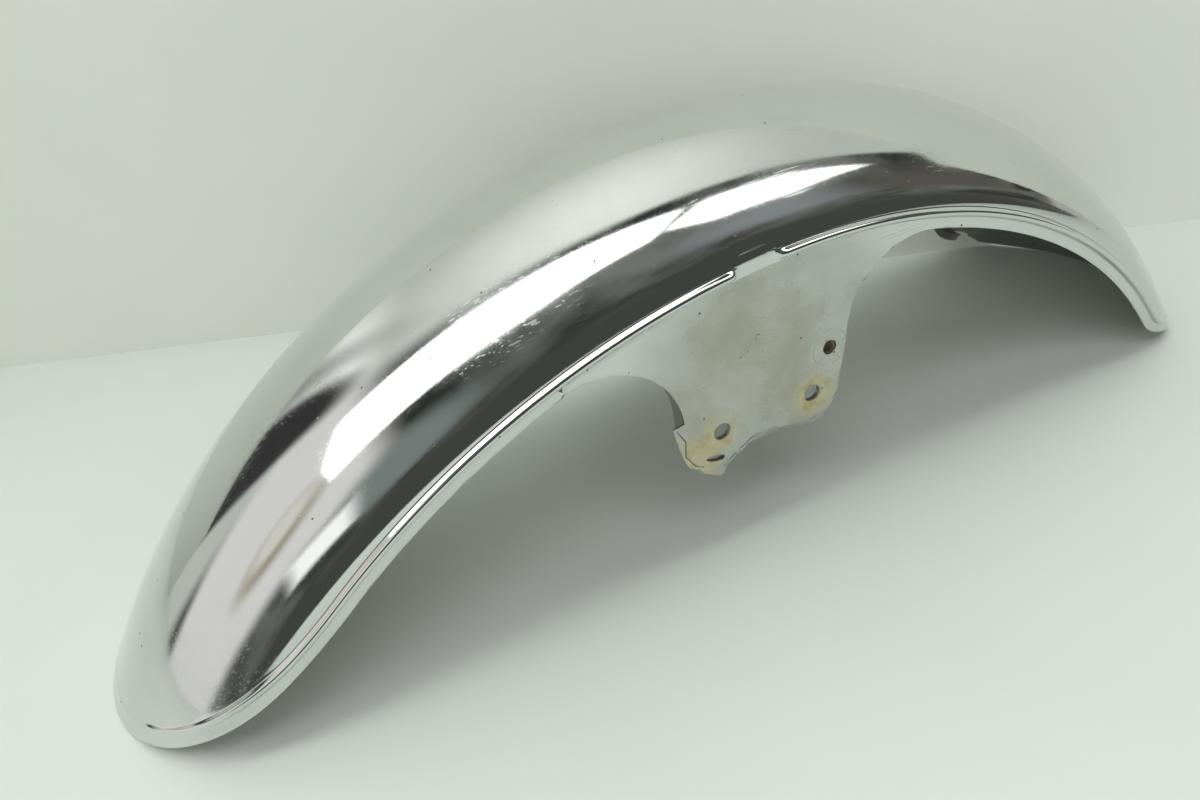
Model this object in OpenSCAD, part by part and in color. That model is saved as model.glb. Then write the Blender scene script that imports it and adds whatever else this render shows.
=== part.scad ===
// Front mudguard of a motorcycle, pressed from steel sheet.
// The blade is a round-crowned sheet bent along two arcs that meet at the fork legs.
// X runs along the wheel, with the tighter front arc on +X, and Z is up.
// The origin is on the floor, midway between the two tips on which the guard stands.

/* [Blade] */
// Height of the crown over the tips
crown_h = 190; // [170:1:205]
// Crown radius of the rear arc
rear_r = 418; // [390:1:450]
// Crown radius of the front arc
front_r = 324; // [300:1:360]
// Half the width over the skirts
half_w = 84.5; // [76:0.5:92]
// Radius of the crown across the blade
crown_r = 120; // [105:1:150]
// Radius of the shoulder above the bead
shoulder_r = 12; // [11:0.5:16]
// Thickness of the blade
sheet_t = 1.2; // [0.8:0.1:1.6]

/* [Rim] */
// Radius of the half-round bead
bead_r = 2.5; // [2:0.1:3.5]
// Height of the skirt below the bead
skirt_h = 4.5; // [3:0.5:8]
// Width of the gap in the bead for a fork leg
notch_w = 21; // [16:1:28]

/* [Tips] */
// Length of the rear tongue
rear_tongue = 137; // [100:1:160]
// Length of the front tongue
front_tongue = 52; // [40:1:80]
// Squareness of the rear tongue, where 2 is an ellipse
rear_square = 2.3; // [2:0.1:2.6]
// Squareness of the front tongue
front_square = 2.1; // [2:0.1:2.4]

/* [Ears] */
// Fork legs behind the crown
fork_x = 26; // [15:1:35]
// Drop of the bolt line below the crown
bolt_drop = 120; // [112:1:124]
// Distance between the bolts of an ear
bolt_pitch = 50; // [44:1:56]
// Bolt hole
bolt_d = 9; // [8:0.1:10]
// Margin in front of and below the front bolt
bolt_margin = 15; // [13:0.5:18]
// Margin behind the rear bolt
rear_margin = 18.5; // [17:0.5:22]
// Margin below the rear bolt
foot_margin = 19; // [17:0.5:21]
// Radius of the sweep from each skirt to its ear
sweep_r = 40; // [34:1:44]

/* [Inner bridge] */
// Thickness of the bridge
bridge_t = 1.6; // [1.2:0.1:2]
// Depth of the turned-in flanges
flange_h = 9; // [7:0.5:9]
// Overhang of the bridge below the ears
bridge_lip = 3; // [1:0.5:5]
// Space left by the plating between sheets
seat_gap = 0.1; // [0.05:0.05:0.2]
// Width of the strap below the crown
strap_w = 64; // [50:1:70]

/* [Weld nuts] */
// Thread hole
thread_d = 6.8; // [6.6:0.1:7]
// Hole in the ear in front of the thread
nut_hole_d = 7.4; // [7.2:0.1:8]
// Distance across the nut's flats
nut_flats = 13; // [12:0.5:13.5]
// Height of the nut
nut_h = 6.5; // [5:0.5:8]
// Collar that centres the nut in the bridge
collar_d = 9.4; // [9:0.1:10]
// Clearance of the collar in the bridge
collar_gap = 0.15; // [0.1:0.05:0.3]
// Nut in front of the fork legs
nut_x = 35.5; // [34:0.5:36]
// Nut above the bolt line
nut_rise = 21.5; // [20:0.5:24]

/* [Wear of the left ear] */
// Length of the hole rusted through the sheet
rust_l = 9; // [6:0.5:11]
// Height of that hole
rust_h = 3.4; // [2:0.2:4]
// Height of sheet rusted away from the foot between the bolts
bite_h = 8; // [5:0.5:9]
// Width of the torn corner behind the rear edge
tear_w = 6; // [3:0.5:8]
// Drop of the torn corner below the foot
tear_h = 5; // [2:0.5:6]

/* [Hidden] */
$fn = 64;

// Centres of the two arcs, below the crown
rear_z = crown_h - rear_r;
front_z = crown_h - front_r;
// Angles from the crown to the tips, where the inner face of each reaches the floor
rear_end = acos(-rear_z / (rear_r - sheet_t));
front_end = acos(-front_z / (front_r - sheet_t));
// Place of the crown, where the two arcs meet, ahead of the middle of the guard
crown_x = (rear_r * sin(rear_end) - front_r * sin(front_end)) / 2;

// Section: crown arc, shoulder arc, then straight down through bead and skirt
shoulder_a = asin((half_w - shoulder_r) / (crown_r - shoulder_r));
shoulder_y = (crown_r - shoulder_r) * sin(shoulder_a);
shoulder_d = crown_r - (crown_r - shoulder_r) * cos(shoulder_a);
crown_len = crown_r * shoulder_a * PI / 180;
skin_len = crown_len + shoulder_r * (90 - shoulder_a) * PI / 180;
rim_h = 2 * bead_r + skirt_h;
half_len = skin_len + rim_h;
rim_drop = shoulder_d + rim_h;

crown_steps = 9;
shoulder_steps = 4;
bead_steps = 6;
tip_steps = 14;

// Distances from the crown line at which the skin bends
skin_s = concat(
    [for (i = [1 : crown_steps]) crown_len * i / crown_steps],
    [for (i = [1 : shoulder_steps]) crown_len + (skin_len - crown_len) * i / shoulder_steps]);

// Point of the section at a distance from the crown line, lifted off the outer face:
// how far it lies from the middle plane and how far below the crown
function section(s, lift) =
    s < crown_len ?
        let (a = s / crown_r * 180 / PI)
        [(crown_r + lift) * sin(a), crown_r - (crown_r + lift) * cos(a)] :
    s < skin_len ?
        let (a = shoulder_a + (s - crown_len) / shoulder_r * 180 / PI)
        [shoulder_y + (shoulder_r + lift) * sin(a), shoulder_d - (shoulder_r + lift) * cos(a)] :
        [half_w + lift, shoulder_d + s - skin_len];

// Rim as pairs of distance in from the edge and lift, from the edge up to the skin
bead_in = skirt_h + bead_r;
function bead_arc(r) =
    [for (i = [0 : bead_steps]) [bead_in - r * cos(180 * i / bead_steps), r * sin(180 * i / bead_steps)]];
outer_rim = concat([[0, 0]], bead_arc(bead_r));
inner_rim = concat(
    [[0, -sheet_t], [skirt_h + sheet_t, -sheet_t]],
    [for (i = [1 : bead_steps - 1]) bead_arc(bead_r - sheet_t)[i]],
    [[rim_h - sheet_t, -sheet_t]]);
outer_flat_rim = [[0, 0]];
inner_flat_rim = [[0, -sheet_t]];

function reversed(list) = [for (i = [len(list) - 1 : -1 : 0]) list[i]];

// Half of the blade's outer or inner face, from the edge to the crown line
function half_face(rim, lift) = concat(
    [for (p = rim) section(half_len - p[0], p[1])],
    [for (s = reversed(skin_s)) section(s, lift)]);

// Whole section as radius and distance from the middle plane
function ring_section(arc_r, rim_out, rim_in) =
    let (out = half_face(rim_out, 0))
    let (inn = half_face(rim_in, -sheet_t))
    concat(
        [for (p = out) [arc_r - p[1], p[0]]],
        [[arc_r, 0]],
        [for (p = reversed(out)) [arc_r - p[1], -p[0]]],
        [for (p = inn) [arc_r - p[1], -p[0]]],
        [[arc_r - sheet_t, 0]],
        [for (p = reversed(inn)) [arc_r - p[1], p[0]]]);

// Sets a piece drawn from the crown's place into the guard's frame
module from_crown() {
    translate([crown_x, 0, 0])
        children();
}

// Sweeps a section round the wheel's axle, from one angle behind the crown to another
module sweep(centre_z, from, to) {
    translate([0, 0, centre_z])
        rotate([-90, -90, 0])
            rotate_extrude(angle = to - from, start = from)
                children();
}

// Angles at which the tongues begin
rear_root = rear_end - rear_tongue / rear_r * 180 / PI;
front_root = front_end - front_tongue / front_r * 180 / PI;
// Angles of the two ends of the fork-leg gap
notch_rear = (fork_x + notch_w / 2) / (rear_r - rim_drop) * 180 / PI;
notch_front = (fork_x - notch_w / 2) / (rear_r - rim_drop) * 180 / PI;
// Lap of the plain rim under the two bead ends
lap_a = 0.05;

module arcs() {
    sweep(rear_z, -rear_root, -notch_rear)
        polygon(ring_section(rear_r, outer_rim, inner_rim));
    sweep(rear_z, -notch_rear - lap_a, lap_a - notch_front)
        polygon(ring_section(rear_r, outer_flat_rim, inner_flat_rim));
    sweep(rear_z, -notch_front, 0)
        polygon(ring_section(rear_r, outer_rim, inner_rim));
    sweep(front_z, 0, front_root)
        polygon(ring_section(front_r, outer_rim, inner_rim));
}

// Closed round ends of the bead at a fork-leg gap
module bead_ends() {
    bead_arc_r = rear_r - shoulder_d - bead_r;
    for (a = [notch_rear, notch_front])
        for (side = [-1, 1])
            intersection() {
                translate([-bead_arc_r * sin(a), side * half_w, rear_z + bead_arc_r * cos(a)])
                    sphere(r = bead_r);
                translate([-rear_r, side > 0 ? half_w - sheet_t : -half_w - 2 * bead_r, 0])
                    cube([2 * rear_r, sheet_t + 2 * bead_r, crown_h]);
            }
}

// A tongue starts this far inside the arc that carries it, and its faces lie this far below
// the arc's, so that the two pieces of sheet run into each other
lap = 0.5;
lap_step = 0.05;

// Outline of a tongue on the unrolled sheet, as distances along and across from its start,
// and the direction that points inwards there
function tongue_at(t, length, square) =
    [length * pow(cos(t), 2 / square), half_len * pow(sin(t), 2 / square)];
function inward(p, length, square) =
    let (n = [pow(p[0] / length, square - 1) / length, pow(p[1] / half_len, square - 1) / half_len])
    -n / norm(n);

// Point of a tongue in space, from its place on the unrolled sheet
function tongue_point(arc_r, centre_z, root, way, along, across, side, lift) =
    let (p = section(across, lift))
    let (a = root + (along - lap) / arc_r * 180 / PI)
    [way * (arc_r - p[1]) * sin(a), side * p[0], centre_z + (arc_r - p[1]) * cos(a)];

// Rows of one face of a tongue, each from its edge to the start of the crown line
function tongue_rows(arc_r, centre_z, root, way, length, square, rim, skin_lift, lift) =
    [for (i = [0 : 2 * tip_steps])
        let (side = i <= tip_steps ? -1 : 1)
        let (t = 90 * (i <= tip_steps ? 1 - i / tip_steps : i / tip_steps - 1))
        let (edge = tongue_at(t, length, square))
        let (dir = inward(edge, length, square))
        let (skin = edge + dir * rim_h)
        concat(
            [for (p = rim)
                let (q = edge + dir * max(p[0], lap_step))
                tongue_point(arc_r, centre_z, root, way, q[0], max(q[1], 0), side, p[1] + lift)],
            [for (s = reversed(skin_s))
                let (q = skin * (s / skin_len))
                tongue_point(arc_r, centre_z, root, way, q[0], max(q[1], 0), side, skin_lift + lift)])];

// A tongue: its two faces, the edge between them and the flat face at its start
module tongue(arc_r, centre_z, root, way, length, square) {
    reach = length + lap;
    out = tongue_rows(arc_r, centre_z, root, way, reach, square, outer_rim, 0, -lap_step);
    inn = tongue_rows(arc_r, centre_z, root, way, reach, square, inner_rim, -sheet_t, lap_step);
    lines = len(out);
    rows = len(out[0]);
    inside = lines * rows;
    out_pole = 2 * inside;
    inn_pole = out_pole + 1;
    points = concat(
        [for (row = out) each row],
        [for (row = inn) each row],
        [tongue_point(arc_r, centre_z, root, way, 0, 0, 1, -lap_step)],
        [tongue_point(arc_r, centre_z, root, way, 0, 0, 1, lap_step - sheet_t)]);
    // Corner of a face in the outer skin, and the one behind it in the inner skin
    function at(i, j) = j < rows ? i * rows + j : out_pole;
    function behind(i, j) = j < rows ? inside + i * rows + j : inn_pole;
    function quad(a, b, c, d) = [[a, b, c], [a, c, d]];
    last = lines - 1;
    faces = concat(
        [for (i = [0 : last - 1]) for (j = [0 : rows - 2])
            each concat(quad(at(i, j), at(i + 1, j), at(i + 1, j + 1), at(i, j + 1)),
                        quad(behind(i, j), behind(i, j + 1), behind(i + 1, j + 1), behind(i + 1, j)))],
        [for (i = [0 : last - 1])
            each [[at(i, rows - 1), at(i + 1, rows - 1), out_pole],
                  [behind(i, rows - 1), inn_pole, behind(i + 1, rows - 1)]]],
        [for (i = [0 : last - 1]) each quad(at(i, 0), behind(i, 0), behind(i + 1, 0), at(i + 1, 0))],
        [for (j = [0 : rows - 1]) each quad(at(0, j), at(0, j + 1), behind(0, j + 1), behind(0, j))],
        [for (j = [0 : rows - 1]) each quad(at(last, j), behind(last, j), behind(last, j + 1), at(last, j + 1))]);
    polyhedron(points, way < 0 ? faces : [for (f = faces) reversed(f)], convexity = 8);
}

// Places in the ear's plane, as X and Z
bolt_z = crown_h - bolt_drop;
front_bolt_x = bolt_pitch / 2 - fork_x;
rear_bolt_x = -bolt_pitch / 2 - fork_x;
front_edge = front_bolt_x + bolt_margin;
rear_edge = rear_bolt_x - rear_margin;
foot_z = bolt_z - foot_margin;
toe_z = bolt_z - bolt_margin;
nut_z = bolt_z + nut_rise;
nut_at_x = nut_x - fork_x;

// Edges of the skirts, and the sweeps that run from them into the ear
rear_skirt_r = rear_r - rim_drop;
front_skirt_r = front_r - rim_drop;
front_lean = 5;
rear_sweep_x = rear_edge - sweep_r;
rear_sweep_z = rear_z + sqrt(pow(rear_skirt_r - sweep_r, 2) - pow(rear_sweep_x, 2));
front_sweep_x = front_edge + front_lean + sweep_r;
front_sweep_z = front_z + sqrt(pow(front_skirt_r - sweep_r, 2) - pow(front_sweep_x, 2));
rear_sweep_a = atan2(rear_sweep_z - rear_z, rear_sweep_x);
front_sweep_a = atan2(front_sweep_z - front_z, front_sweep_x);

// Arc in the ear's plane
function arc_points(x, z, r, from, to, steps) =
    [for (i = [0 : steps]) let (a = from + (to - from) * i / steps) [x + r * cos(a), z + r * sin(a)]];

// Corner of the left ear that is torn open at the end of the rear sweep
module torn_corner() {
    // The tear stays below the end of the sweep, also where a wide blade brings that end down
    tear_z = min(bolt_z - foot_margin / 3, rear_sweep_z - tear_w);
    polygon([
        [rear_edge, rear_sweep_z],
        [rear_edge - tear_w, rear_sweep_z - tear_w / 4],
        [rear_edge - tear_w / 2, tear_z],
        [rear_edge, foot_z + foot_margin / 3],
        [rear_bolt_x - foot_margin / 2, foot_z - tear_h / 3],
        [rear_bolt_x - tear_h / 2, foot_z - tear_h],
        [rear_bolt_x + tear_h / 4, foot_z + 1],
        [rear_bolt_x, bolt_z]]);
}

// Sheet rusted away from the foot of the left ear, and lower down from the leg behind it
module bite(lip) {
    below = foot_z - foot_margin / 2;
    translate([0, -lip])
        polygon([
            [rear_bolt_x + tear_h / 4, below],
            [rear_bolt_x + tear_h / 4, foot_z],
            [rear_bolt_x + bolt_pitch * 0.3, foot_z + bite_h],
            [rear_bolt_x + bolt_pitch * 0.56, foot_z + bite_h],
            [front_bolt_x, toe_z],
            [front_bolt_x, below]]);
}

// Outline of an ear or of the bridge's leg behind it, with its foot lower by a lip
module ear_outline(lip) {
    toe_r = bolt_margin;
    heel_r = 10;
    heel_in = 3;
    difference() {
        intersection() {
            polygon(concat(
                [[rear_sweep_x, rear_sweep_z]],
                [[rear_edge, rear_sweep_z - 2]],
                [[rear_edge, bolt_z]],
                arc_points(rear_edge + heel_in + heel_r, foot_z + heel_r - lip, heel_r, 180, 270, 8),
                arc_points(front_bolt_x, toe_z + toe_r - lip, toe_r, 270, 360, 12),
                [[front_edge + front_lean, front_sweep_z]],
                [[front_sweep_x, front_sweep_z]],
                [[front_sweep_x + sweep_r * cos(front_sweep_a), front_sweep_z + sweep_r * sin(front_sweep_a)]],
                [[front_sweep_x, crown_h]],
                [[rear_sweep_x, crown_h]],
                [[rear_sweep_x + sweep_r * cos(rear_sweep_a), rear_sweep_z + sweep_r * sin(rear_sweep_a)]]));
            union() {
                intersection() {
                    translate([0, rear_z])
                        circle(r = rear_skirt_r + skirt_h / 2);
                    translate([-rear_r, 0])
                        square([rear_r, crown_h]);
                }
                intersection() {
                    translate([0, front_z])
                        circle(r = front_skirt_r + skirt_h / 2);
                    square([front_r, crown_h]);
                }
            }
        }
        translate([rear_sweep_x, rear_sweep_z])
            circle(r = sweep_r);
        translate([front_sweep_x, front_sweep_z])
            circle(r = sweep_r);
    }
}

// Sets a shape from the ear's plane upright, with one face at a distance from the middle
// plane and the other nearer to it
module upright(outer_y, depth) {
    translate([0, depth - outer_y, 0])
        rotate([90, 0, 0])
            linear_extrude(depth)
                children();
}

// Straight cut through an ear and whatever backs it
module ear_bore(x, z, d) {
    translate([x, -half_w - 1, z])
        rotate([-90, 0, 0])
            cylinder(d = d, h = 12);
}

module ear_holes(nut_d) {
    ear_bore(front_bolt_x, bolt_z, bolt_d);
    ear_bore(rear_bolt_x, bolt_z, bolt_d);
    ear_bore(nut_at_x, nut_z, nut_d);
}

module ear(worn) {
    difference() {
        upright(half_w, sheet_t) {
            difference() {
                ear_outline(0);
                if (worn)
                    bite(0);
            }
            if (worn)
                torn_corner();
        }
        ear_holes(nut_hole_d);
    }
}

// Hole rusted through the left ear below its rear bolt
module rust_hole() {
    for (x = [-1, 1])
        ear_bore(rear_bolt_x - 4 + x * (rust_l - rust_h) / 2, foot_z + 5, rust_h);
    translate([rear_bolt_x - 4 - (rust_l - rust_h) / 2, -half_w - 1, foot_z + 5 - rust_h / 2])
        cube([rust_l - rust_h, 2 + sheet_t, rust_h]);
}

module blade() {
    color("gainsboro")
        from_crown() difference() {
            union() {
                arcs();
                bead_ends();
                tongue(rear_r, rear_z, rear_root, -1, rear_tongue, rear_square);
                tongue(front_r, front_z, front_root, 1, front_tongue, front_square);
                ear(true);
                mirror([0, 1, 0])
                    ear(false);
            }
            rust_hole();
        }
}

// Outer face of the bridge, below the blade's
bridge_y = half_w - sheet_t - seat_gap;

// Section of the strap, as radius and distance from the middle plane
function strap_section(arc_r, depth) =
    let (top = [for (s = concat([half_len], reversed(skin_s))) section(s, -sheet_t - seat_gap)])
    let (low = [for (s = concat([half_len], reversed(skin_s))) section(s, -sheet_t - seat_gap - depth)])
    concat(
        [for (p = top) [arc_r - p[1], p[0]]],
        [for (p = reversed(top)) [arc_r - p[1], -p[0]]],
        [for (p = low) [arc_r - p[1], -p[0]]],
        [for (p = reversed(low)) [arc_r - p[1], p[0]]]);

strap_rear = (fork_x + strap_w / 2) / rear_skirt_r * 180 / PI;
strap_front = (strap_w / 2 - fork_x) / front_skirt_r * 180 / PI;
flange_rear_a = bridge_t / rear_skirt_r * 180 / PI;
flange_front_a = bridge_t / front_skirt_r * 180 / PI;

// Channel that ties the two legs together below the crown. Its sheet ends inside its flanges.
module strap() {
    sweep(rear_z, flange_rear_a / 2 - strap_rear, 0)
        polygon(strap_section(rear_r, bridge_t));
    sweep(front_z, 0, strap_front - flange_front_a / 2)
        polygon(strap_section(front_r, bridge_t));
    sweep(rear_z, -strap_rear, flange_rear_a - strap_rear)
        polygon(strap_section(rear_r, flange_h));
    sweep(front_z, strap_front - flange_front_a, strap_front)
        polygon(strap_section(front_r, flange_h));
}

// Flanges turned in along the two sweeps of a leg
module leg_flanges() {
    for (sweep_at = [[rear_sweep_x, rear_sweep_z], [front_sweep_x, front_sweep_z]])
        upright(bridge_y, flange_h)
            intersection() {
                ear_outline(0);
                translate(sweep_at)
                    circle(r = sweep_r + bridge_t);
            }
}

module leg(worn) {
    difference() {
        union() {
            upright(bridge_y, bridge_t)
                difference() {
                    ear_outline(bridge_lip);
                    if (worn)
                        bite(bridge_lip);
                }
            leg_flanges();
        }
        ear_holes(collar_d + 2 * collar_gap);
    }
}

module inner_bridge() {
    color("dimgray") from_crown() {
        strap();
        leg(true);
        mirror([0, 1, 0])
            leg(false);
    }
}

module weld_nut() {
    seat_y = bridge_y - bridge_t;
    difference() {
        union() {
            translate([nut_at_x, -seat_y, nut_z])
                rotate([-90, 0, 0])
                    rotate([0, 0, 30])
                        cylinder(d = nut_flats / cos(30), h = nut_h, $fn = 6);
            translate([nut_at_x, -bridge_y, nut_z])
                rotate([-90, 0, 0])
                    cylinder(d = collar_d, h = bridge_t + 1);
        }
        translate([nut_at_x, -bridge_y - 1, nut_z])
            rotate([-90, 0, 0])
                cylinder(d = thread_d, h = bridge_t + nut_h + 2);
    }
}

module left_weld_nut() {
    color("darkslategray")
        from_crown() weld_nut();
}

module right_weld_nut() {
    color("darkslategray")
        from_crown()
            mirror([0, 1, 0])
                weld_nut();
}

blade();
inner_bridge();
left_weld_nut();
right_weld_nut();
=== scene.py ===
"""Front mudguard of a motorcycle: the pressed blade in full detail, its plating, light and camera.

Sizes are in millimetres, as on the drawing, and MM turns them into metres. The crown of the blade
stands over X = 0 in the drawing, and CROWN_X moves it to its place in the frame.
"""
import math

import bpy
import numpy as np
from mathutils import Matrix, Vector, noise
from mathutils.geometry import delaunay_2d_cdt


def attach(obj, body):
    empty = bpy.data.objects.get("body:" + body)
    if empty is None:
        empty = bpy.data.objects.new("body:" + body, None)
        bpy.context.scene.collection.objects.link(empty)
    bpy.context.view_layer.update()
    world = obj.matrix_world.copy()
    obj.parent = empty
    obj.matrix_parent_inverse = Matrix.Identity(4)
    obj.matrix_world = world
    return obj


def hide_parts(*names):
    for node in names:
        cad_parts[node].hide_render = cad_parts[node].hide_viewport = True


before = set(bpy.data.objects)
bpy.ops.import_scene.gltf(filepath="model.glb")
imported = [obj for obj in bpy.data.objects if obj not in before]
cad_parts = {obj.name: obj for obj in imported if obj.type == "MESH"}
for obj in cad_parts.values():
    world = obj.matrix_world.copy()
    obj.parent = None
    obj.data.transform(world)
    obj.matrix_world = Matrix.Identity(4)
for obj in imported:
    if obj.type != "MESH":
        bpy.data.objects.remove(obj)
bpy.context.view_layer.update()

MM = 0.001

# Blade
CROWN_H, REAR_R, FRONT_R = 190.0, 418.0, 324.0
HALF_W, CROWN_R, SHOULDER_R, SHEET_T = 84.5, 120.0, 12.0, 1.2
BEAD_R, SKIRT_H, NOTCH_W = 2.5, 4.5, 21.0
REAR_TONGUE, FRONT_TONGUE, REAR_SQUARE, FRONT_SQUARE = 137.0, 52.0, 2.3, 2.1
# Ears
FORK_X, BOLT_DROP, BOLT_PITCH, BOLT_D = 26.0, 120.0, 50.0, 9.0
BOLT_MARGIN, REAR_MARGIN, FOOT_MARGIN, SWEEP_R = 15.0, 18.5, 19.0, 40.0
FRONT_LEAN, HEEL_R, HEEL_IN = 5.0, 10.0, 3.0
# Weld nuts
THREAD_D, THREAD_PITCH, NUT_HOLE_D = 6.8, 1.25, 7.4
NUT_FLATS, NUT_H, COLLAR_D, NUT_X, NUT_RISE = 13.0, 6.5, 9.4, 35.5, 21.5
SEAT_GAP, BRIDGE_T = 0.1, 1.6

# Places that follow from these sizes
REAR_Z, FRONT_Z = CROWN_H - REAR_R, CROWN_H - FRONT_R
REAR_END = math.acos(-REAR_Z / (REAR_R - SHEET_T))
FRONT_END = math.acos(-FRONT_Z / (FRONT_R - SHEET_T))
CROWN_X = (REAR_R * math.sin(REAR_END) - FRONT_R * math.sin(FRONT_END)) / 2
SHOULDER_A = math.asin((HALF_W - SHOULDER_R) / (CROWN_R - SHOULDER_R))
CROWN_LEN = CROWN_R * SHOULDER_A
SKIN_LEN = CROWN_LEN + SHOULDER_R * (math.pi / 2 - SHOULDER_A)
RIM_H = 2 * BEAD_R + SKIRT_H
HALF_LEN = SKIN_LEN + RIM_H
RIM_DROP = CROWN_R - (CROWN_R - SHOULDER_R) * math.cos(SHOULDER_A) + RIM_H
BOLT_Z = CROWN_H - BOLT_DROP
FRONT_BOLT_X, REAR_BOLT_X = BOLT_PITCH / 2 - FORK_X, -BOLT_PITCH / 2 - FORK_X
NUT_AT = (NUT_X - FORK_X, BOLT_Z + NUT_RISE)

# The real press left soft transitions where the drawing's arcs meet
PATH_BLEND, SHOULDER_BLEND = 20.0, 3.0
# The skin still leans inwards above the bead, and the sheet turns upright behind the bead's crest
RIM_SLOPE, KINK_BLEND = math.radians(80), 0.7
# Lean of the bead's flat upper flank and of its lower one, and the radii of its crest and feet
FLANK_LEAN, LOW_LEAN, CREST_R, FOOT_R = math.radians(36), math.radians(150), 1.25, 0.7
# Length over which the bead runs out at a fork leg, and what is left of its height at the tips
BEAD_RUN_OUT, TIP_BEAD = 5.0, 0.1
# Rows of the skirt, as shares of the way from the bead to the edge
SKIRT_SHARES = (0.66, 0.33, 0.0)
# Drop of the shoulder over a fork leg, the softness of its ends, the run over which it sets in
# above the rim, and where and how softly it fades higher up
LEG_DROP, LEG_BLEND, LEG_RUN_IN, LEG_DROP_H, LEG_FADE = 0.4, 2.2, 2.0, 16.0, 4.0
# Unevenness of the sheet as height, wavelength and seed, none of it this close to the edge
RIPPLES, EVEN_RIM, SEED_SHIFT = [(0.055, 55, 1), (0.014, 22, 2)], 5.0, (7.3, 3.1, 5.7)
# The flats bulge outwards by this, over this run below the skirt, with this wavelength and seed
BULGE, BULGE_RUN, BULGE_WAVE, BULGE_SEED = 0.22, 14.0, 17.0, 3
# The torn foot: how far its rear edge curls out, from where and over what run, and its lip in
CURL, CURL_IN, CURL_RUN, LIP, LIP_RUN = 1.1, 3.0, 8.0, 0.7, 5.0
FOOT_SEED, FOOT_RAGGED = 5, 0.16
# Hole rusted through: place from the rear bolt and the foot, half sizes, tilt, and its raggedness
RUST_AT, RUST_HALF, RUST_TILT, RUST_RAGGED, RUST_WAVES = (-4.8, 5.6), (4.9, 1.9), -0.25, 0.25, 3.1
# Spacing of points along cut edges and inside a flat, and each row's share of it
EDGE_STEP, FIELD_STEP, ROW_SHARE = 1.3, 2.3, 0.87
# Bevel on the cut edges, and the least corner that gets one
EDGE_BREAK, EDGE_CORNER = 0.25, math.radians(60)
# Material slots of the blade: chrome, worn flats, and the inner faces two further on
WORN_SLOT, INNER_SLOTS = 1, 2


def soft_step(x, width):
    return 0.5 + 0.5 * np.tanh(x / width)


def middles(values):
    """Mean of each pair of neighbours."""
    return (values[1:] + values[:-1]) / 2


def running(steps):
    """Running sum of steps, from 0."""
    return np.concatenate([[0], np.cumsum(steps)])


def bend_section():
    """Section of the skin as distance from the crown line, place across, drop and slope."""
    step = 0.25
    s = np.arange(0, HALF_LEN + step, step)
    shoulder = (RIM_SLOPE - SHOULDER_A) / (SKIN_LEN - CROWN_LEN)
    turned = soft_step(s - CROWN_LEN, SHOULDER_BLEND)
    kink = s - (HALF_LEN - SKIRT_H - BEAD_R)
    bend = 1 / CROWN_R + (shoulder - 1 / CROWN_R) * turned
    bend *= 1 - soft_step(kink + BEAD_R / 2, KINK_BLEND)
    slope = running(middles(bend) * step)
    slope *= RIM_SLOPE / slope[-1]
    slope += (math.pi / 2 - RIM_SLOPE) * soft_step(kink, KINK_BLEND)
    across = running(np.cos(middles(slope)) * step)
    drop = running(np.sin(middles(slope)) * step)
    at_edge = np.interp(HALF_LEN, s, across), np.interp(HALF_LEN, s, drop)
    return s, across * HALF_W / at_edge[0], drop * RIM_DROP / at_edge[1], slope


def bend_path():
    """Crown line as distance from the crown, X, Z and slope, negative distances to the rear."""
    step, spare = 0.5, 5
    s = np.arange(-REAR_R * REAR_END - spare, FRONT_R * FRONT_END + spare, step)
    bend = 1 / REAR_R + (1 / FRONT_R - 1 / REAR_R) * soft_step(s, PATH_BLEND)
    slope = running(middles(bend) * step)
    slope += s[-1] / FRONT_R - slope[-1]
    x = running(np.cos(middles(slope)) * step)
    z = running(-np.sin(middles(slope)) * step)
    x += FRONT_R * math.sin(s[-1] / FRONT_R) - x[-1]
    z += FRONT_Z + FRONT_R * math.cos(s[-1] / FRONT_R) - z[-1]
    return s, x, z, slope


SECTION = bend_section()
PATH = bend_path()


def surface(along, across, lift=0.0):
    """Points of the blade, from distances along and across its crown line and a lift outwards."""
    s, section_y, section_drop, section_slope = SECTION
    distance = np.abs(across)
    y = np.interp(distance, s, section_y)
    drop = np.interp(distance, s, section_drop)
    lean = np.interp(distance, s, section_slope)
    path_s, path_x, path_z, path_slope = PATH
    slope = np.interp(along, path_s, path_slope)
    rise = lift * np.cos(lean) - drop
    return np.stack([np.interp(along, path_s, path_x) + rise * np.sin(slope),
                     np.sign(across) * (y + lift * np.sin(lean)),
                     np.interp(along, path_s, path_z) + rise * np.cos(slope)], axis=-1)


def tongue(length, square):
    """Edge of a tongue on the unrolled sheet, from side to tip, and the way inwards there."""
    stations = 2001
    t = np.linspace(math.pi / 2, 0, stations)
    along, across = (size * np.clip(f(t), 0, 1) ** (2 / square)
                     for size, f in ((length, np.cos), (HALF_LEN, np.sin)))
    normal = np.stack([(along / length) ** (square - 1) / length,
                       (across / HALF_LEN) ** (square - 1) / HALF_LEN], axis=-1)
    way_in = -normal / np.linalg.norm(normal, axis=1, keepdims=True)
    return np.stack([along, across], axis=-1), way_in


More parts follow.
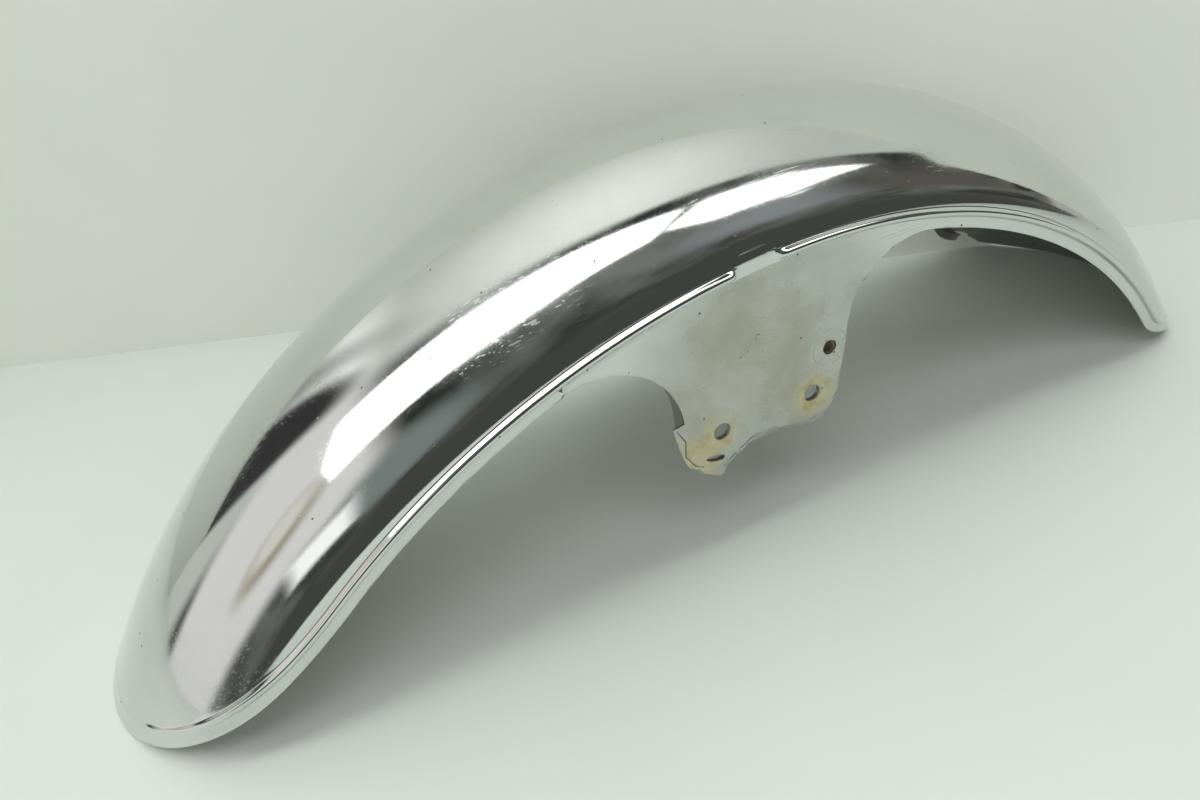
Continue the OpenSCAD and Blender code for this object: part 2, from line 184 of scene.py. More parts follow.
def rim_profile():
    """Bead and skirt as distance in from the edge and lift, from the skin down to the edge."""
    crest_in, crest_lift = SKIRT_H + BEAD_R, BEAD_R - CREST_R
    foot_points, crest_points, flank_shares = 4, 9, (0.33, 0.66)

    def foot(start, lean):
        """Fillet in which a flank from the crest ends, down to the sheet."""
        run = abs((start[1] - FOOT_R * (1 - math.sin(lean))) / math.cos(lean))
        fall = math.copysign(1, math.cos(lean))
        end = start[0] + fall * run * math.sin(lean), start[1] - run * abs(math.cos(lean))
        centre = end[0] + FOOT_R * math.cos(lean), end[1] + FOOT_R * math.sin(lean)
        return [(centre[0] - FOOT_R * math.cos(a), centre[1] - FOOT_R * math.sin(a))
                for a in np.linspace(lean, math.pi / 2, foot_points)]

    crest = [(crest_in + CREST_R * math.cos(a), crest_lift + CREST_R * math.sin(a))
             for a in np.linspace(FLANK_LEAN, LOW_LEAN, crest_points)]
    upper, lower = foot(crest[0], FLANK_LEAN), foot(crest[-1], LOW_LEAN)
    flanks = [[(a[0] + (b[0] - a[0]) * f, a[1] + (b[1] - a[1]) * f) for f in flank_shares]
              for a, b in ((upper[0], crest[0]), (crest[-1], lower[0]))]
    rows = upper[::-1] + flanks[0] + crest + flanks[1] + lower
    return np.array(rows + [(rows[-1][0] * f, 0.0) for f in SKIRT_SHARES])


RIM = rim_profile()
RIM_IN = RIM[0, 0]


def stretch(start, end, step):
    """Evenly spaced stations from start up to but without end."""
    return np.linspace(start, end, max(1, math.ceil((end - start) / step)) + 1)[:-1]


def sweep_circle(edge_x, way):
    """Centre of the sweep from a skirt to an ear, and the angle where it leaves the skirt."""
    arc_r, arc_z = (REAR_R, REAR_Z) if way < 0 else (FRONT_R, FRONT_Z)
    x = edge_x + way * SWEEP_R
    z = arc_z + math.sqrt((arc_r - RIM_DROP - SWEEP_R) ** 2 - x * x)
    return x, z, math.atan2(z - arc_z, x)


REAR_EDGE = REAR_BOLT_X - REAR_MARGIN
FRONT_EDGE = FRONT_BOLT_X + BOLT_MARGIN
REAR_SWEEP = sweep_circle(REAR_EDGE, -1)
FRONT_SWEEP = sweep_circle(FRONT_EDGE + FRONT_LEAN, 1)
EAR_FROM = (math.pi / 2 - REAR_SWEEP[2]) * REAR_R
EAR_TO = (math.pi / 2 - FRONT_SWEEP[2]) * FRONT_R
GAP_FROM, GAP_TO = (-(FORK_X + way * NOTCH_W / 2) / (REAR_R - RIM_DROP) * REAR_R
                    for way in (1, -1))
ROOT_FROM, ROOT_TO = REAR_TONGUE - REAR_R * REAR_END, FRONT_R * FRONT_END - FRONT_TONGUE


def bead_height(along):
    """How much of the bead stands at a distance along the side: none where a fork leg passes."""
    outside = np.maximum(GAP_FROM - along, along - GAP_TO)
    t = np.clip(outside / BEAD_RUN_OUT, 0, 1)
    return np.sqrt(1 - (1 - t) ** 2)


def ripple(points, size, seed):
    """Smooth unevenness from -1 to 1 of about that wavelength, another for each seed."""
    shift = Vector([seed * s for s in SEED_SHIFT])
    return np.array([noise.noise(Vector(p) / size + shift) for p in points.reshape(-1, 3)]
                    ).reshape(points.shape[:-1])


def relief(along, across):
    """How the shoulder runs lower where a fork leg passes, and the sheet's slight unevenness."""
    middle = (GAP_FROM + GAP_TO) / 2
    up = HALF_LEN - np.abs(across)
    over_leg = 1 - soft_step(np.abs(along - middle) - NOTCH_W / 2, LEG_BLEND)
    low = -LEG_DROP * over_leg * np.clip((up - EVEN_RIM) / LEG_RUN_IN, 0, 1)
    low *= 1 - soft_step(up - LEG_DROP_H, LEG_FADE)
    smooth = surface(along, across)
    uneven = sum(height * ripple(smooth, size, seed) for height, size, seed in RIPPLES)
    return low + uneven * np.clip((up - EVEN_RIM) / EVEN_RIM, 0, 1)


class Mesh:
    """Points and faces of one piece, gathered in millimetres from the crown's place."""

    def __init__(self):
        self.points, self.faces, self.materials = [], [], []
        self.count = 0

    def add(self, points):
        """Numbers of the added points, in the shape of their array."""
        points = np.asarray(points, float)
        self.points.append(points.reshape(-1, 3))
        numbers = self.count + np.arange(points.size // 3)
        self.count += len(numbers)
        return numbers.reshape(points.shape[:-1])

    def face(self, corners, material=0):
        self.faces.append(tuple(int(c) for c in corners))
        self.materials.append(material)

    def grid(self, numbers):
        for a, b in zip(numbers[:-1], numbers[1:]):
            for k in range(len(a) - 1):
                self.face((a[k], b[k], b[k + 1], a[k + 1]))

    def build(self, name, materials):
        points = np.concatenate(self.points)
        points[:, 0] += CROWN_X
        mesh = bpy.data.meshes.new(name)
        mesh.from_pydata((points * MM).tolist(), [], self.faces)
        for material in materials:
            mesh.materials.append(material)
        mesh.polygons.foreach_set("material_index", self.materials)
        mesh.polygons.foreach_set("use_smooth", [True] * len(self.faces))
        mesh.update()
        piece = bpy.data.objects.new(name, mesh)
        bpy.context.collection.objects.link(piece)
        return piece


def inside(points, loops):
    """Whether points of a plane lie inside the loops, counting a loop within a loop as a hole."""
    crossings = np.zeros(len(points), int)
    for loop in loops:
        a, b = np.asarray(loop), np.roll(loop, -1, axis=0)
        for (ax, az), (bx, bz) in zip(a, b):
            if az == bz:
                continue
            spans = (points[:, 1] < az) != (points[:, 1] < bz)
            crossings += spans & (points[:, 0] < ax + (points[:, 1] - az) * (bx - ax) / (bz - az))
    return crossings % 2 == 1


def arc(x, z, r, start, end, step=EDGE_STEP):
    """Points of an arc in the ear's plane, angles in radians."""
    n = max(2, math.ceil(abs(end - start) * r / step))
    return [(x + r * math.cos(a), z + r * math.sin(a)) for a in np.linspace(start, end, n + 1)]


def densify(points):
    """The same line of points with none further apart than EDGE_STEP."""
    out = [points[0]]
    for (ax, az), (bx, bz) in zip(points[:-1], points[1:]):
        n = max(1, math.ceil(math.hypot(bx - ax, bz - az) / EDGE_STEP))
        out += [(ax + (bx - ax) * k / n, az + (bz - az) * k / n) for k in range(1, n + 1)]
    return out


# Foot of the left ear, torn and corroded: the tab behind its rear bolt, then its lower edge
WORN_FOOT = [(-69.4, 82.4), (-75.2, 80.6), (-73.1, 69.2), (-71.6, 62.0), (-69.7, 57.5),
             (-64.8, 53.9), (-62.3, 50.2), (-59.3, 48.8), (-56.0, 46.6), (-53.5, 45.9),
             (-51.0, 48.3), (-49.6, 52.0), (-44.8, 53.6), (-40.0, 55.2), (-35.7, 58.8),
             (-29.0, 59.7), (-22.8, 59.2), (-15.0, 57.4), (-8.6, 56.3), (-4.0, 55.6)]


def ear_foot(worn):
    """Outline of an ear from the end of the rear sweep round its foot to the front sweep."""
    toe = arc(FRONT_BOLT_X, BOLT_Z, BOLT_MARGIN, -math.pi / 2, 0)
    if worn:
        foot = densify(WORN_FOOT)
        moves = np.random.default_rng(FOOT_SEED).standard_normal((len(foot), 2))
        return [(x + FOOT_RAGGED * dx, z + FOOT_RAGGED * dz)
                for (x, z), (dx, dz) in zip(foot, moves)] + toe
    heel = arc(REAR_EDGE + HEEL_IN + HEEL_R, BOLT_Z - FOOT_MARGIN + HEEL_R, HEEL_R,
               -math.pi, -math.pi / 2)
    return densify([(REAR_EDGE, BOLT_Z)] + heel) + densify([heel[-1], toe[0]])[1:] + toe[1:]


def ear_holes(worn):
    """Bolt holes and nut hole of an ear, and on the worn one the hole rusted through."""
    step, corners = 0.6, 40
    rounds = ((FRONT_BOLT_X, BOLT_Z, BOLT_D), (REAR_BOLT_X, BOLT_Z, BOLT_D), (*NUT_AT, NUT_HOLE_D))
    holes = [arc(x, z, d / 2, 0, 2 * math.pi, step)[:-1] for x, z, d in rounds]
    if worn:
        oval = [(RUST_HALF[0] * math.cos(a), RUST_HALF[1] * math.sin(a))
                for a in np.linspace(0, 2 * math.pi, corners + 1)[:-1]]
        holes.append([(REAR_BOLT_X + RUST_AT[0] + x,
                       BOLT_Z - FOOT_MARGIN + RUST_AT[1] + z + RUST_TILT * x
                       + RUST_RAGGED * math.sin(RUST_WAVES * x)) for x, z in oval])
    return holes


def fill_plate(mesh, side, top, top_points):
    """Flat side of the blade below the bead: the skirt between the sweeps, and the ear."""
    worn = side < 0
    rear = arc(REAR_SWEEP[0], REAR_SWEEP[1], SWEEP_R, REAR_SWEEP[2], 0)[1:]
    front = arc(FRONT_SWEEP[0], FRONT_SWEEP[1], SWEEP_R, math.pi, FRONT_SWEEP[2])[:-1]
    low = rear + ear_foot(worn) + densify([(FRONT_EDGE, BOLT_Z), front[0]])[1:-1] + front
    outline = [tuple(p) for p in top_points[:, [0, 2]]] + low
    loops = [outline] + ear_holes(worn)
    edge = np.array([p for loop in loops for p in loop])
    lo, hi = edge.min(axis=0), edge.max(axis=0)
    rows = np.arange(lo[1], hi[1], FIELD_STEP * ROW_SHARE)
    field = np.array([(x + (k % 2) * FIELD_STEP / 2, z) for k, z in enumerate(rows)
                      for x in np.arange(lo[0], hi[0], FIELD_STEP)])
    field = field[inside(field, loops)]
    gap = np.array([np.min(np.hypot(*(edge - p).T)) for p in field])
    field = field[gap > FIELD_STEP / 2]
    flat = np.concatenate([edge, field])
    edges, start = [], 0
    for loop in loops:
        n = len(loop)
        edges += [(start + k, start + (k + 1) % n) for k in range(n)]
        start += n
    tolerance = 1e-4
    vertices, _, faces, origins, _, _ = delaunay_2d_cdt([Vector(p) for p in flat], edges, [], 0,
                                                        tolerance)
    places = np.array([tuple(v) for v in vertices])
    numbers = np.full(len(places), -1)
    own = []
    for k, origin in enumerate(origins):
        on_top = [o for o in origin if o < len(top)]
        if on_top:
            numbers[k] = top[on_top[0]]
        else:
            own.append(k)
    y = side * HALF_W * np.ones(len(own))
    solid = np.stack([places[own, 0], y, places[own, 1]], axis=-1)
    arc_r = np.where(solid[:, 0] < 0, REAR_R, FRONT_R) - RIM_DROP
    arc_z = np.where(solid[:, 0] < 0, REAR_Z, FRONT_Z)
    below = arc_r - np.hypot(solid[:, 0], solid[:, 2] - arc_z)
    free = np.clip(below / BULGE_RUN, 0, 1)
    solid[:, 1] += side * free * (BULGE + BULGE * ripple(solid, BULGE_WAVE, BULGE_SEED))
    if worn:
        curl = np.clip((REAR_EDGE + CURL_IN - solid[:, 0]) / CURL_RUN, 0, 1) ** 2
        lip = np.clip((BOLT_Z - FOOT_MARGIN - solid[:, 2]) / LIP_RUN, 0, 1) ** 2
        solid[:, 1] += CURL * curl * (1 - lip) - LIP * lip
    numbers[own] = mesh.add(solid)
    centres = np.array([places[list(f)].mean(axis=0) for f in faces])
    for f, keep in zip(faces, inside(centres, loops)):
        if keep:
            corners = numbers[list(f)]
            mesh.face(corners if side < 0 else corners[::-1], WORN_SLOT)


def blade_mesh(materials):
    """The whole sheet: skin, bead and skirt all round, and the two ears."""
    plain, ear, run_out, gap = 3.4, 3.2, 0.6, 2.0
    stops = [(ROOT_FROM, plain), (EAR_FROM, ear), (GAP_FROM - BEAD_RUN_OUT, run_out),
             (GAP_FROM, gap), (GAP_TO, run_out), (GAP_TO + BEAD_RUN_OUT, ear), (EAR_TO, plain),
             (ROOT_TO, plain)]
    sides = np.concatenate([stretch(start, end, step) for (start, step), (end, _)
                            in zip(stops, stops[1:])] + [[ROOT_TO]])
    share = (sides - ROOT_FROM) / (ROOT_TO - ROOT_FROM)
    rear_edge, rear_in = tongue(REAR_TONGUE, REAR_SQUARE)
    front_edge, front_in = tongue(FRONT_TONGUE, FRONT_SQUARE)
    rear_skin, front_skin = rear_edge + rear_in * RIM_IN, front_edge + front_in * RIM_IN
    run = running(np.hypot(*np.diff(rear_skin, axis=0).T))
    half_rows = 44
    at_rear = np.interp(np.linspace(0, run[-1], half_rows + 1), run, np.arange(len(run)))
    across = np.interp(at_rear, np.arange(len(run)), rear_skin[:, 1])
    at_front = np.interp(-across, -front_skin[:, 1], np.arange(len(run)))

    def ends(at, edge, way_in, root, way):
        """Edge points and ways inwards of a tongue's rows, from the left side to the right."""
        e, w = (np.stack([np.interp(at, np.arange(len(line)), line[:, c]) for c in (0, 1)], axis=-1)
                for line in (edge, way_in))
        e, w = (np.concatenate([line * (1, -1), line[-2::-1]]) for line in (e, w))
        return e * (way, 1) + (root, 0), w * (way, 1)

    rear_e, rear_w = ends(at_rear, rear_edge, rear_in, ROOT_FROM, -1)
    front_e, front_w = ends(at_front, front_edge, front_in, ROOT_TO, 1)
    rear_s, front_s = rear_e + rear_w * RIM_IN, front_e + front_w * RIM_IN
    grid_along = rear_s[:, 0] + (front_s[:, 0] - rear_s[:, 0]) * share[:, None]
    grid_across = rear_s[:, 1] + (front_s[:, 1] - rear_s[:, 1]) * share[:, None]
    mesh = Mesh()
    skin = mesh.add(surface(grid_along, grid_across, relief(grid_along, grid_across)))
    mesh.grid(skin)

    # Round the skin: right side forwards, front tongue, left side back, rear tongue
    last = len(rear_e) - 1
    side_e = np.stack([sides, np.full(len(sides), HALF_LEN)], axis=-1)
    side_w = np.tile((0.0, -1.0), (len(sides), 1))
    edge = np.concatenate([side_e, front_e[last - 1:0:-1], (side_e * (1, -1))[::-1],
                           rear_e[1:last]])
    way_in = np.concatenate([side_w, front_w[last - 1:0:-1], -side_w, rear_w[1:last]])
    border = np.concatenate([skin[:, last], skin[-1, last - 1:0:-1], skin[::-1, 0],
                             skin[0, 1:last]])
    fade_from, fade_run = 0.15, 0.8
    towards_tip = np.clip((np.abs(way_in[:, 0]) - fade_from) / fade_run, 0, 1)
    height = bead_height(edge[:, 0])
    height *= 1 - (1 - TIP_BEAD) * towards_tip ** 2 * (3 - 2 * towards_tip)
    inset = edge[:, None, :] + way_in[:, None, :] * RIM[None, 1:, :1]
    lift = RIM[None, 1:, 1] * height[:, None] + relief(inset[..., 0], inset[..., 1])
    below = mesh.add(surface(inset[..., 0], inset[..., 1], lift))
    rim = np.concatenate([border[:, None], below], axis=1)

    columns = len(sides)
    ears, slack = {}, 1e-6
    for side, first in ((1, 0), (-1, columns + last - 1)):
        span = sides if side > 0 else sides[::-1]
        ears[side] = [first + k for k in range(columns)
                      if EAR_FROM - slack <= span[k] <= EAR_TO + slack]
    crease = len(RIM) - 1 - len(SKIRT_SHARES)
    count = len(border)
    for k in range(count):
        after = (k + 1) % count
        in_ear = any(k in within[:-1] for within in ears.values())
        for row in range(crease if in_ear else len(RIM) - 1):
            mesh.face((rim[k, row], rim[after, row], rim[after, row + 1], rim[k, row + 1]))
    points = np.concatenate(mesh.points)
    for side, within in ears.items():
        order = within if side < 0 else within[::-1]
        top = [*rim[order[0], :crease:-1], *(rim[k, crease] for k in order),
               *rim[order[-1], crease + 1:]]
        fill_plate(mesh, side, np.array(top), points[top])
    return mesh.build("blade_sheet", materials)


def solid_sheet(piece):
    """Gives the sheet its thickness, inwards, and breaks its cut edges."""
    def apply(modifier):
        with bpy.context.temp_override(object=piece, active_object=piece):
            bpy.ops.object.modifier_apply(modifier=modifier.name)

    solidify = piece.modifiers.new("sheet", "SOLIDIFY")
    solidify.thickness = SHEET_T * MM
    solidify.offset = -1
    solidify.use_even_offset = True
    solidify.use_quality_normals = True
    solidify.material_offset = INNER_SLOTS
    solidify.material_offset_rim = 0
    apply(solidify)
    bevel = piece.modifiers.new("edges", "BEVEL")
    bevel.width = EDGE_BREAK * MM
    bevel.segments = 2
    bevel.limit_method = "ANGLE"
    bevel.angle_limit = EDGE_CORNER
    apply(bevel)


def rgb(r, g, b):
    return (r, g, b, 1.0)


class Nodes:
    """Short way to write a node tree."""

    def __init__(self, tree):
        self.tree = tree
        tree.nodes.clear()

    def new(self, kind, inputs=None, **settings):
        node = self.tree.nodes.new(kind)
        for key, value in settings.items():
            setattr(node, key, value)
        for key, value in (inputs or {}).items():
            if isinstance(value, bpy.types.NodeSocket):
                self.tree.links.new(value, node.inputs[key])
            else:
                node.inputs[key].default_value = value
        return node

    def math(self, operation, *values):
        return self.new("ShaderNodeMath", dict(enumerate(values)), operation=operation).outputs[0]

    def times(self, a, b):
        return self.math("MULTIPLY", a, b)

    def plus(self, a, b):
        return self.math("ADD", a, b)

    def most(self, a, b):
        return self.math("MAXIMUM", a, b)

    def vector(self, operation, *values):
        """Vector arithmetic that gives a vector, or the number of a length or a product."""
        node = self.new("ShaderNodeVectorMath", dict(enumerate(values)), operation=operation)
        number = operation in ("LENGTH", "DISTANCE", "DOT_PRODUCT")
        return node.outputs["Value" if number else "Vector"]

    def parts(self, vector):
        return self.new("ShaderNodeSeparateXYZ", {0: vector}).outputs

    def noise(self, place, scale, detail=3.0, rough=0.55):
        return self.new("ShaderNodeTexNoise", {"Vector": place, "Scale": scale, "Detail": detail,
                                               "Roughness": rough}).outputs["Fac"]

    def ramp(self, value, low, high, to_low=0.0, to_high=1.0, smooth=True):
        """The value carried from one range into another and kept within it."""
        node = self.new("ShaderNodeMapRange", {"Value": value, "From Min": low, "From Max": high,
                                               "To Min": to_low, "To Max": to_high},
                        interpolation_type="SMOOTHSTEP" if smooth else "LINEAR")
        return node.outputs["Result"]

    def mix(self, factor, a, b):
        node = self.new("ShaderNodeMix", data_type="RGBA")
        for socket, value in ((node.inputs[0], factor), (node.inputs[6], a), (node.inputs[7], b)):
            if isinstance(value, bpy.types.NodeSocket):
                self.tree.links.new(value, socket)
            else:
                socket.default_value = value
        return node.outputs[2]


# Colours: chrome and its haze, rust in its pits, and the worn flats with stains, marks and lines,
# and the dark of a painted shade line along the torn foot
CHROME, HAZE = rgb(0.69, 0.70, 0.69), rgb(0.65, 0.665, 0.65)
PIT_DEEP, PIT_PALE = rgb(0.10, 0.045, 0.02), rgb(0.22, 0.12, 0.06)
WORN_PALE, WORN_GREY = rgb(0.53, 0.54, 0.50), rgb(0.41, 0.45, 0.435)
WORN_WARM, WORN_FLECK = rgb(0.45, 0.42, 0.355), rgb(0.62, 0.62, 0.57)
STAIN_PALE, STAIN_DEEP = rgb(0.60, 0.56, 0.33), rgb(0.42, 0.36, 0.17)
MARK_AND_SHADE, LINE = rgb(0.11, 0.10, 0.08), rgb(0.3, 0.31, 0.29)
# Dull plating and its rust, and the steel of the nuts
DULL_PALE, DULL_GREY = rgb(0.46, 0.47, 0.44), rgb(0.36, 0.36, 0.33)
RUST_DEEP, RUST_PALE = rgb(0.16, 0.075, 0.03), rgb(0.28, 0.15, 0.07)
STEEL, STEEL_RUST = rgb(0.42, 0.38, 0.31), rgb(0.24, 0.16, 0.09)


def new_material(name):
    material = bpy.data.materials.new(name)
    material.use_nodes = True
    nodes = Nodes(material.node_tree)
    place = nodes.new("ShaderNodeTexCoord").outputs["Object"]
    return material, nodes, place


def finish_material(nodes, colour, metallic, roughness, bumps):
    """Principled surface with its bumps, each a height, a strength and a depth in metres."""
    normal = None
    for height, strength, depth in bumps:
        inputs = {"Height": height, "Strength": strength, "Distance": depth}
        if normal is not None:
            inputs["Normal"] = normal
        normal = nodes.new("ShaderNodeBump", inputs).outputs[0]
    inputs = {"Base Color": colour, "Metallic": metallic, "Roughness": roughness}
    if normal is not None:
        inputs["Normal"] = normal
    shader = nodes.new("ShaderNodeBsdfPrincipled", inputs)
    nodes.new("ShaderNodeOutputMaterial", {"Surface": shader.outputs[0]})


def pits(nodes, place, scale, share, size):
    """Sparse round pits in a share of the cells: 1 in a pit, 0 elsewhere."""
    share_blend, core = 0.01, 0.55
    cells = nodes.new("ShaderNodeTexVoronoi", {"Vector": place, "Scale": scale})
    chosen = nodes.ramp(nodes.parts(cells.outputs["Color"])[0], share, share - share_blend)
    return nodes.times(chosen, nodes.ramp(cells.outputs["Distance"], size, size * core))


def scratches(nodes, place, patches, angle, scale, level):
    """Hairline scratches along one direction, where the patches let them."""
    stretched, soft = 0.03, 0.03
    turned = nodes.new("ShaderNodeMapping", {"Vector": place, "Rotation": angle,
                                             "Scale": (scale * stretched, scale, scale)})
    lines = nodes.noise(turned.outputs[0], 1.0, 2.0)
    return nodes.times(nodes.ramp(lines, level, level + soft), nodes.ramp(patches, 0.5, 0.62))


def chrome_plate():
    """Old bright chrome: a clear mirror with a fine grain, haze, hairlines and a few rust pits."""
    material, nodes, place = new_material("chrome_plate")
    cloud = nodes.noise(place, scale=18.0, detail=4.0)
    haze = nodes.ramp(cloud, 0.42, 0.72)
    grain = nodes.noise(place, scale=1100.0, detail=2.0)
    lines = scratches(nodes, place, cloud, angle=(0, 0.5, 0.9), scale=900.0, level=0.61)
    pit = pits(nodes, place, scale=240.0, share=0.035, size=0.17)
    colour = nodes.mix(haze, CHROME, HAZE)
    colour = nodes.mix(pit, colour, nodes.mix(grain, PIT_DEEP, PIT_PALE))
    rough = nodes.ramp(haze, 0.0, 1.0, 0.04, 0.11, smooth=False)
    for more in (nodes.ramp(grain, 0.5, 0.7, 0.0, 0.05), nodes.times(lines, 0.10),
                 nodes.times(pit, 0.5)):
        rough = nodes.plus(rough, more)
    metallic = nodes.ramp(pit, 0.0, 1.0, 1.0, 0.3, smooth=False)
    marks = nodes.math("SUBTRACT", nodes.times(lines, 0.2), pit)
    finish_material(nodes, colour, metallic, rough, [(grain, 0.35, 0.00001), (marks, 0.4, 0.00005)])
    return material


def ear_point(x, z):
    """A point of the left ear's plane in the frame, in metres."""
    return (CROWN_X + x) * MM, -HALF_W * MM, z * MM


def near_point(nodes, place, x, z, reach, soft):
    """1 near a point of the left ear's plane, fading to 0 over a soft rim at its reach."""
    away = nodes.vector("LENGTH", nodes.vector("SUBTRACT", place, ear_point(x, z)))
    return nodes.ramp(away, reach * MM, (reach - soft) * MM)


def ring(nodes, place, x, z, radius, width):
    """1 on a thin circle in the left ear's plane, 0 off it."""
    inner = near_point(nodes, place, x, z, radius, width)
    outer = near_point(nodes, place, x, z, radius + width, width)
    return nodes.times(outer, nodes.math("SUBTRACT", 1.0, inner))


def stroke(nodes, flat, start, end, width):
    """1 along a line through two points of the guard seen from its side, 0 off it."""
    a, b = (Vector(((CROWN_X + x) * MM, 0, z * MM)) for x, z in (start, end))
    run = b - a
    from_a = nodes.vector("SUBTRACT", flat, a)
    along = nodes.vector("DOT_PRODUCT", from_a, run / run.length_squared)
    share = nodes.ramp(along, 0.0, 1.0, smooth=False)
    foot = nodes.new("ShaderNodeVectorMath", {0: run, "Scale": share}, operation="SCALE").outputs[0]
    return nodes.ramp(nodes.vector("DISTANCE", from_a, foot), width * MM, width * MM / 2)


# A crack, and a painted shade line along the torn foot where its cut edge meets the bridge's lip,
# as lines through points of the left ear's plane
CRACK_AND_SHADE_LINES = [[(-73.5, 79.5), (-70.0, 72.5), (-70.8, 64.0), (-66.5, 57.0), (-62.5, 54.5)],
          [(-51.5, 50.5), (-45.5, 54.6), (-36.0, 59.6), (-28.5, 60.4), (-22.0, 59.9)]]
CRACK_AND_SHADE_W = 0.5
# Middle of the left ear's wear, and how far from it the wear starts to fade and ends, in metres
EAR_MIDDLE, WEAR_FADE, WEAR_END = (-22.0, 92.0), 0.05, 0.085
# Yellow stains: place, reach and softness
STAINS = [(FRONT_BOLT_X + 1, BOLT_Z - 1, 15, 8), (REAR_BOLT_X - 1, BOLT_Z - 1, 15, 9),
          (REAR_BOLT_X - 13, BOLT_Z - 10, 18, 12)]
# Faint ring round the nut hole, and a round nick: place, radius and width
NUT_RING, NICK = (*NUT_AT, 9.3, 0.35), (-28.8, 112.3, 1.3, 0.3)


def worn_plate():
    """Flats of the ears: cloudy plating, scratched, with yellow stains round the bolts, and a
    painted shade line along the torn foot.
    """
    material, nodes, place = new_material("worn_plate")
    cloud = nodes.noise(place, scale=34.0, detail=5.0, rough=0.6)
    mottle = nodes.noise(place, scale=150.0, detail=4.0)
    fine = nodes.noise(place, scale=800.0, detail=3.0)
    warm = nodes.noise(place, scale=17.0, detail=3.0)
    across = nodes.parts(place)[1]
    wear = nodes.ramp(nodes.vector("DISTANCE", place, ear_point(*EAR_MIDDLE)), WEAR_END, WEAR_FADE)
    wear = nodes.most(wear, nodes.ramp(across, 0.0, 0.01))
    clouded = nodes.mix(nodes.ramp(cloud, 0.3, 0.75), WORN_PALE, WORN_GREY)
    clouded = nodes.mix(nodes.ramp(warm, 0.42, 0.66, 0.0, 0.8), clouded, WORN_WARM)
    clouded = nodes.mix(nodes.ramp(mottle, 0.35, 0.85, 0.0, 0.3), clouded, WORN_FLECK)
    colour = nodes.mix(wear, CHROME, clouded)

    stain = None
    for x, z, reach, soft in STAINS:
        spot = near_point(nodes, place, x, z, reach, soft)
        stain = spot if stain is None else nodes.most(stain, spot)
    ragged = nodes.plus(nodes.times(mottle, 0.5), nodes.times(cloud, 0.7))
    stain = nodes.times(stain, nodes.ramp(ragged, 0.35, 0.68))
    yellow = nodes.mix(nodes.ramp(mottle, 0.4, 0.75), STAIN_PALE, STAIN_DEEP)
    colour = nodes.mix(nodes.times(stain, 0.85), colour, yellow)

    faint = nodes.times(ring(nodes, place, *NUT_RING), nodes.ramp(mottle, 0.42, 0.6))
    nick = nodes.times(ring(nodes, place, *NICK), nodes.ramp(mottle, 0.35, 0.45))
    specks_and_shade = pits(nodes, place, scale=280.0, share=0.05, size=0.2)
    specks_and_shade = nodes.most(specks_and_shade, nodes.most(nick, nodes.times(faint, 0.3)))
    flat = nodes.vector("MULTIPLY", place, (1.0, 0.0, 1.0))
    on_left = nodes.ramp(across, 0.0, -0.01, 0.0, 0.9)
    broken = nodes.ramp(mottle, 0.35, 0.55, 0.1, 0.9)
    # The first line is a crack. The second is painted shade where the foot's cut edge meets the
    # bridge's lip.
    for line in CRACK_AND_SHADE_LINES:
        for start, end in zip(line, line[1:]):
            crack_and_shade = nodes.times(stroke(nodes, flat, start, end, CRACK_AND_SHADE_W), on_left)
            specks_and_shade = nodes.most(specks_and_shade, nodes.times(crack_and_shade, broken))
    # Dark colour on the pits, the nick, the faint ring and the crack, and painted shade along the
    # torn foot
    colour = nodes.mix(specks_and_shade, colour, MARK_AND_SHADE)
    lines = scratches(nodes, place, cloud, angle=(0, 0.9, 0), scale=800.0, level=0.62)
    colour = nodes.mix(nodes.times(lines, 0.3), colour, LINE)

    rough = nodes.plus(0.05, nodes.times(wear, nodes.ramp(cloud, 0.3, 0.75, 0.17, 0.32)))
    rough = nodes.plus(rough, nodes.times(stain, 0.25))
    metallic = nodes.math("SUBTRACT", 0.95, nodes.times(nodes.most(stain, specks_and_shade), 0.6))
    skin = nodes.times(nodes.plus(mottle, nodes.times(fine, 0.3)), wear)
    marks = nodes.plus(specks_and_shade, nodes.times(lines, 0.2))
    finish_material(nodes, colour, metallic, rough, [(skin, 0.05, 0.0001), (marks, 0.4, -0.0001)])
    return material


def dull_plate():
    """Hidden faces: thin dull plating with rust coming through."""
    material, nodes, place = new_material("dull_plate")
    cloud = nodes.noise(place, scale=28.0, detail=5.0, rough=0.6)
    mottle = nodes.noise(place, scale=150.0, detail=4.0)
    fine = nodes.noise(place, scale=900.0, detail=3.0)
    colour = nodes.mix(nodes.ramp(cloud, 0.35, 0.7), DULL_PALE, DULL_GREY)
    rusty = nodes.times(nodes.ramp(cloud, 0.56, 0.68), nodes.ramp(mottle, 0.5, 0.62))
    colour = nodes.mix(nodes.times(rusty, 0.7), colour, nodes.mix(fine, RUST_DEEP, RUST_PALE))
    rough = nodes.plus(nodes.ramp(cloud, 0.3, 0.7, 0.30, 0.46), nodes.times(rusty, 0.3))
    metallic = nodes.math("SUBTRACT", 0.92, nodes.times(rusty, 0.7))
    finish_material(nodes, colour, metallic, rough,
                    [(mottle, 0.15, 0.0002), (fine, 0.15, 0.00005), (rusty, 0.3, 0.0002)])
    return material


def nut_steel():
    """Dark bare steel with brown rust in the thread."""
    material, nodes, place = new_material("nut_steel")
    cloud = nodes.noise(place, scale=180.0, detail=4.0)
    fine = nodes.noise(place, scale=1400.0, detail=3.0)
    colour = nodes.mix(nodes.ramp(cloud, 0.4, 0.65), STEEL, STEEL_RUST)
    rough = nodes.ramp(cloud, 0.3, 0.7, 0.38, 0.6)
    finish_material(nodes, colour, 0.75, rough, [(cloud, 0.2, 0.0001), (fine, 0.2, 0.00004)])
    return material


# Edges of a nut that turn by less than this are shaded smooth
SMOOTH_BELOW = math.radians(35)


